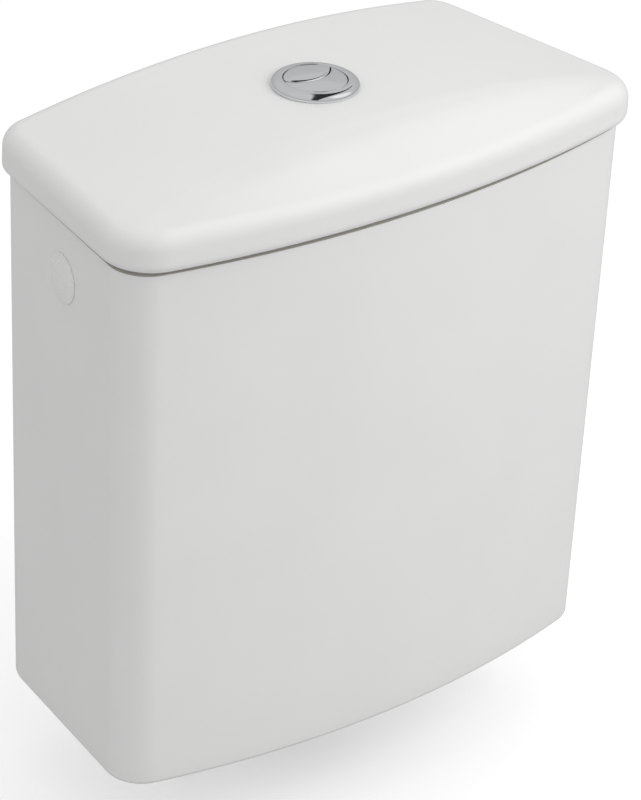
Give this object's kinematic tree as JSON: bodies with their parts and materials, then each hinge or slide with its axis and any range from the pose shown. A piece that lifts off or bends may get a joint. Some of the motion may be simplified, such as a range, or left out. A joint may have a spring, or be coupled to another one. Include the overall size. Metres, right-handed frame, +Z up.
{
  "type": "close-coupled toilet cistern",
  "caption": "Bow-fronted white china cistern with a crowned lift-off lid, a chrome split flush button, a tower flush valve and a side-entry float valve.",
  "frame": {"origin": "on the outlet's axis, in the plane of the tank's underside", "axes": "+X to the right seen from the front, +Y to the wall behind, +Z up"},
  "size_m": [0.4081, 0.188, 0.4543],
  "materials": {
    "china": "white glazed vitreous china, glossy",
    "chrome": "bright chromed plastic",
    "cap_white": "white moulded plastic",
    "white_plastic": "white moulded plastic",
    "grey_plastic": "grey moulded plastic",
    "blue_plastic": "blue moulded plastic",
    "black_rubber": "black rubber",
    "red_rubber": "red silicone rubber",
    "steel": "zinc-plated or stainless steel",
    "spring_steel": "drawn stainless wire"
  },
  "bodies": {
    "tank_body": {"tank": "china", "valve_base": "white_plastic", "base_gasket": "black_rubber", "backnut": "white_plastic", "pan_seal": "black_rubber", "valve_cage": "white_plastic", "tower_rails": "white_plastic", "bridge": "white_plastic", "rocker_pins": "steel", "coupling_bolts": "steel", "bolt_seals": "black_rubber", "bolt_washers": "steel", "bolt_nuts": "steel", "inlet_cap": "cap_white", "cap_washer": "black_rubber", "cap_nut": "cap_white", "fill_body": "white_plastic", "fill_cap": "grey_plastic", "fill_inner_washer": "black_rubber", "fill_outer_washer": "white_plastic", "fill_backnut": "white_plastic", "silencer_tube": "grey_plastic", "arm_pin": "steel"},
    "lid_body": {"lid": "china", "button_ring": "chrome", "threaded_sleeve": "white_plastic", "sleeve_nut": "white_plastic"},
    "full_push": {"full_flush_button": "chrome", "full_push_rod": "grey_plastic", "full_rod_tip": "blue_plastic", "full_button_spring": "spring_steel"},
    "half_push": {"half_flush_button": "chrome", "half_push_rod": "grey_plastic", "half_rod_tip": "blue_plastic", "half_button_spring": "spring_steel"},
    "flush_lift": {"overflow_tube": "white_plastic", "piston": "grey_plastic", "flush_seal": "red_rubber", "seal_retainer": "grey_plastic", "flush_float": "grey_plastic", "float_clip": "grey_plastic", "lift_yoke": "grey_plastic"},
    "full_rocker_arm": {"full_rocker": "blue_plastic"},
    "half_rocker_arm": {"half_rocker": "blue_plastic"},
    "fill_arm": {"float_arm": "white_plastic", "shutoff_pad": "black_rubber", "float_screw": "grey_plastic", "float_cup": "white_plastic"}
  },
  "joints": [
    {"name": "lid_lift", "type": "slide", "parent": "tank_body", "child": "lid_body", "axis": [0, 0, 1], "range_m": [0, 0.25]},
    {"name": "full_press", "type": "slide", "parent": "lid_body", "child": "full_push", "axis": [0, 0, -1], "range_m": [0, 0.007], "stiffness_N_per_m": 300, "springref_m": -0.006, "deforming": ["full_button_spring"]},
    {"name": "half_press", "type": "slide", "parent": "lid_body", "child": "half_push", "axis": [0, 0, -1], "range_m": [0, 0.007], "stiffness_N_per_m": 300, "springref_m": -0.006, "deforming": ["half_button_spring"]},
    {"name": "full_rocker_turn", "type": "hinge", "parent": "tank_body", "child": "full_rocker_arm", "pos_m": [0.016, -0.01, 0.303], "axis": [0, -1, 0], "range_deg": [0, 26]},
    {"name": "half_rocker_turn", "type": "hinge", "parent": "tank_body", "child": "half_rocker_arm", "pos_m": [-0.016, 0.009, 0.303], "axis": [0, 1, 0], "range_deg": [0, 26]},
    {"name": "valve_lift", "type": "slide", "parent": "tank_body", "child": "flush_lift", "axis": [0, 0, 1], "range_m": [0, 0.0105]},
    {"name": "float_swing", "type": "hinge", "parent": "tank_body", "child": "fill_arm", "pos_m": [0.13467, 0.00034, 0.3331], "axis": [-0.1786, 0.9839, 0], "range_deg": [0, 18]}
  ],
  "couplings": [
    {"joint": "full_rocker_turn", "follows": "full_press", "rad_per_m": 64.286},
    {"joint": "valve_lift", "follows": "full_press", "ratio": 1.4857},
    {"joint": "half_rocker_turn", "follows": "half_press", "rad_per_m": 64.286}
  ]
}
